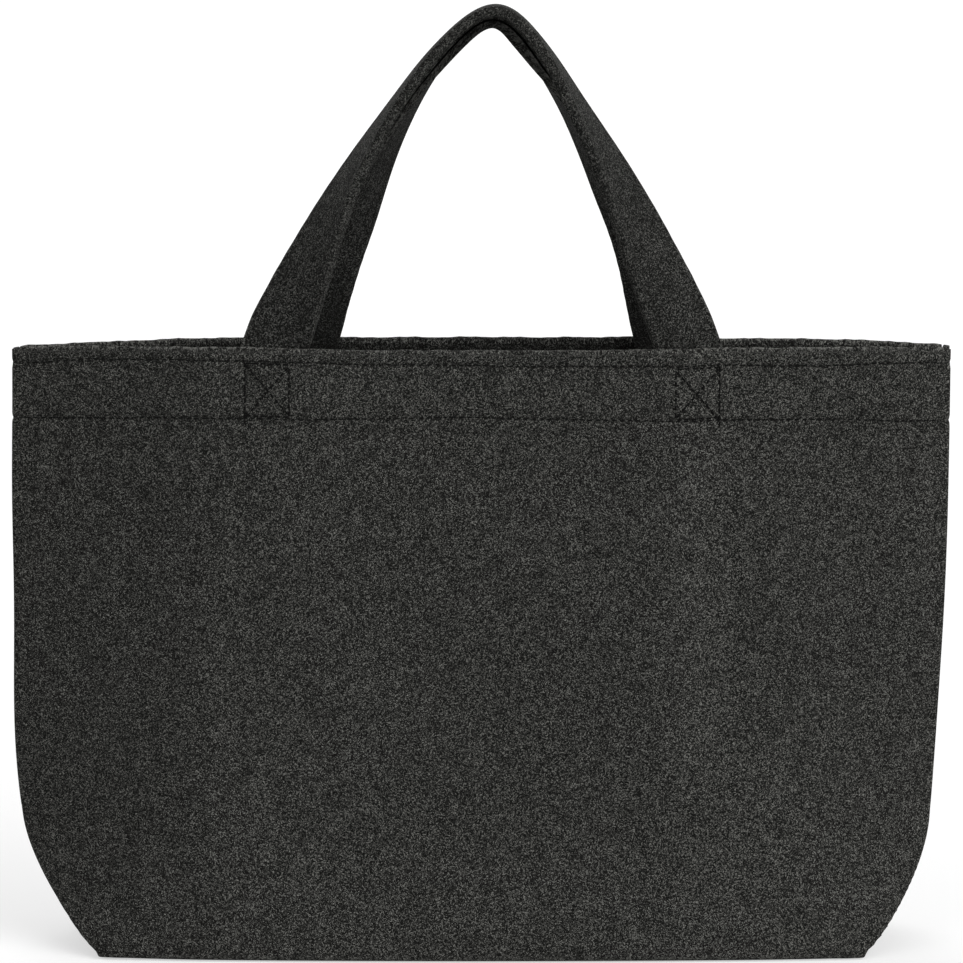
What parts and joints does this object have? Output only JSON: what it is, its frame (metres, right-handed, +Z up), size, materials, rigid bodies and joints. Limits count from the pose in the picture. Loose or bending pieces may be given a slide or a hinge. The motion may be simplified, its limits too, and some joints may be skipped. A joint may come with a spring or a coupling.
{
  "type": "felt tote bag",
  "caption": "Open tote bag of thick charcoal felt with a boxed base, a stitched turned-in hem and two strap carrying handles that fold over the rim.",
  "frame": {"origin": "on the floor under the middle of the base", "axes": "+Z up, X along the bag's width, the front faces -Y"},
  "size_m": [0.4604, 0.1094, 0.4631],
  "materials": {
    "felt": "heather needle felt",
    "strap_felt": "heather needle felt, folded double",
    "thread": "sewing thread"
  },
  "bodies": {
    "bag": {"front_panel": "felt", "back_panel": "felt", "front_hem_top_stitching": "thread", "front_hem_low_stitching": "thread", "back_hem_top_stitching": "thread", "back_hem_low_stitching": "thread", "left_side_seam_stitching": "thread", "right_side_seam_stitching": "thread", "base_seam_stitching": "thread", "left_corner_seam_stitching": "thread", "right_corner_seam_stitching": "thread", "front_left_strap_end": "strap_felt", "front_right_strap_end": "strap_felt", "back_left_strap_end": "strap_felt", "back_right_strap_end": "strap_felt", "front_left_box_stitching": "thread", "front_right_box_stitching": "thread", "back_left_box_stitching": "thread", "back_right_box_stitching": "thread"},
    "front_handle": {"front_handle_strap": "strap_felt", "front_handle_stitching": "thread"},
    "back_handle": {"back_handle_strap": "strap_felt", "back_handle_stitching": "thread"}
  },
  "joints": [
    {"name": "front_handle_fold", "type": "hinge", "parent": "bag", "child": "front_handle", "pos_m": [0, -0.02671, 0.29535], "axis": [1, 0, 0], "range_deg": [0, 160]},
    {"name": "back_handle_fold", "type": "hinge", "parent": "bag", "child": "back_handle", "pos_m": [0, 0.02671, 0.29535], "axis": [-1, 0, 0], "range_deg": [0, 160]}
  ]
}
